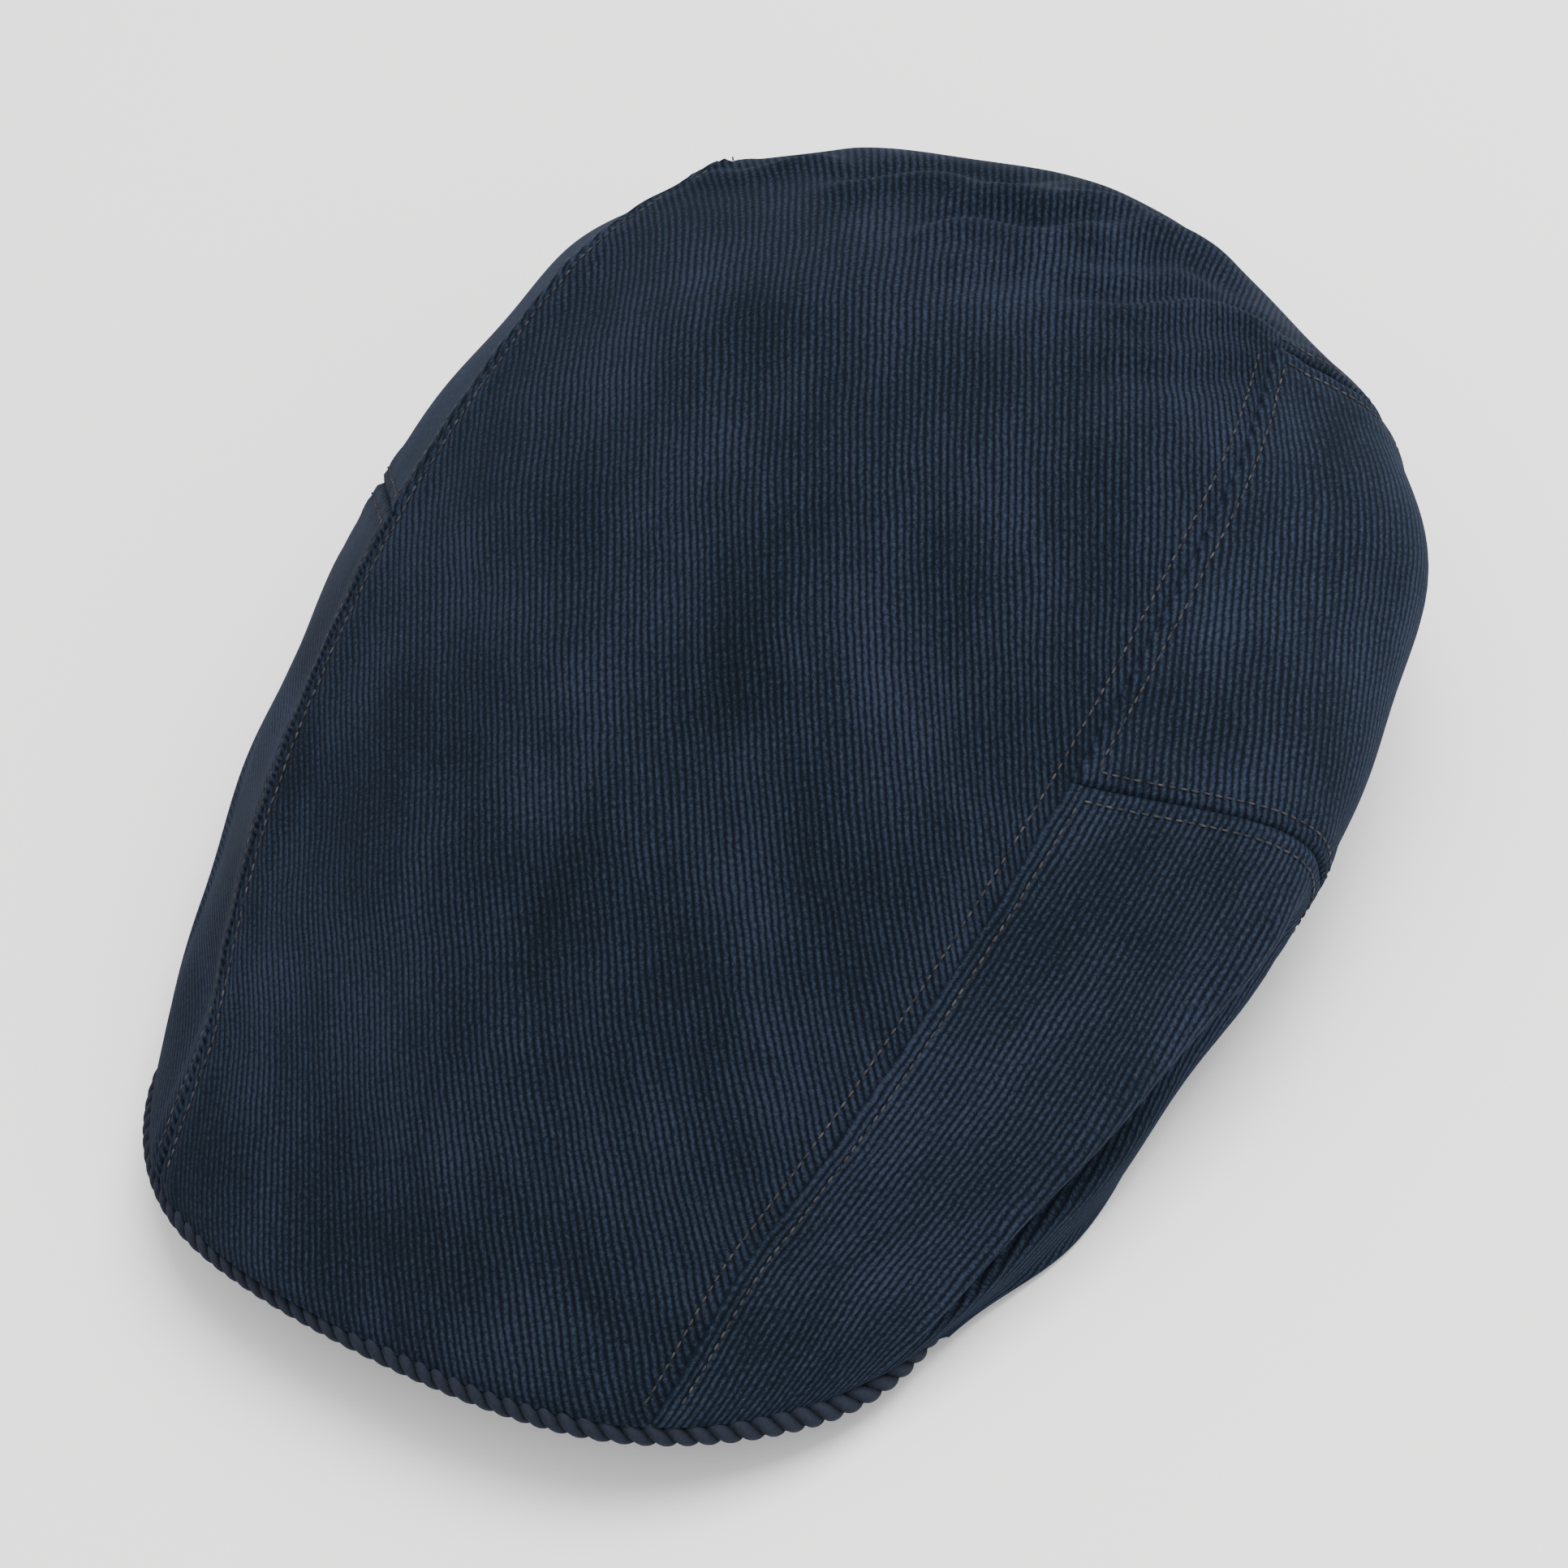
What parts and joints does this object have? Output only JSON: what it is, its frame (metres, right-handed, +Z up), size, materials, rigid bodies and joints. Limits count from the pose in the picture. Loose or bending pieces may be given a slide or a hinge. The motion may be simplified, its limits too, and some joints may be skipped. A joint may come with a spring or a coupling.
{
  "type": "corduroy flat cap",
  "caption": "Soft flat cap in fine dark-blue corduroy with a one-piece top, split side panels, a sewn-down stiff visor, lining and sweatband.",
  "frame": {"origin": "centre of the outline's width and length, on the flat surface the cap rests on", "axes": "+Z up through the crown, -Y towards the visor, +X towards the wearer's left"},
  "size_m": [0.2322, 0.285, 0.1012],
  "materials": {
    "corduroy": "fine-wale cotton corduroy, brushed, soft blue sheen",
    "visor_corduroy": "the same corduroy, rolled in bold ridges round the edge",
    "visor_board": "matt polythene board",
    "interlining": "fusible canvas",
    "lining": "satin lining, low sheen",
    "sweatband": "cotton twill",
    "elastic": "woven elastic",
    "label": "blank woven label"
  },
  "bodies": {
    "root": {"crown_top_panel": "corduroy", "side_front_panel_left": "corduroy", "side_front_panel_right": "corduroy", "side_rear_panel_left": "corduroy", "side_rear_panel_right": "corduroy", "crown_front_interlining": "interlining", "lining_top": "lining", "lining_side_left": "lining", "lining_side_right": "lining", "visor_under_cover": "corduroy", "visor_board": "visor_board", "visor_top_cover": "corduroy", "visor_edge_roll": "visor_corduroy", "hem_band": "corduroy", "sweatband_front": "sweatband", "sweatband_rear": "sweatband", "sweatband_elastic": "elastic", "lining_label": "label", "size_tab": "label"}
  },
  "joints": []
}
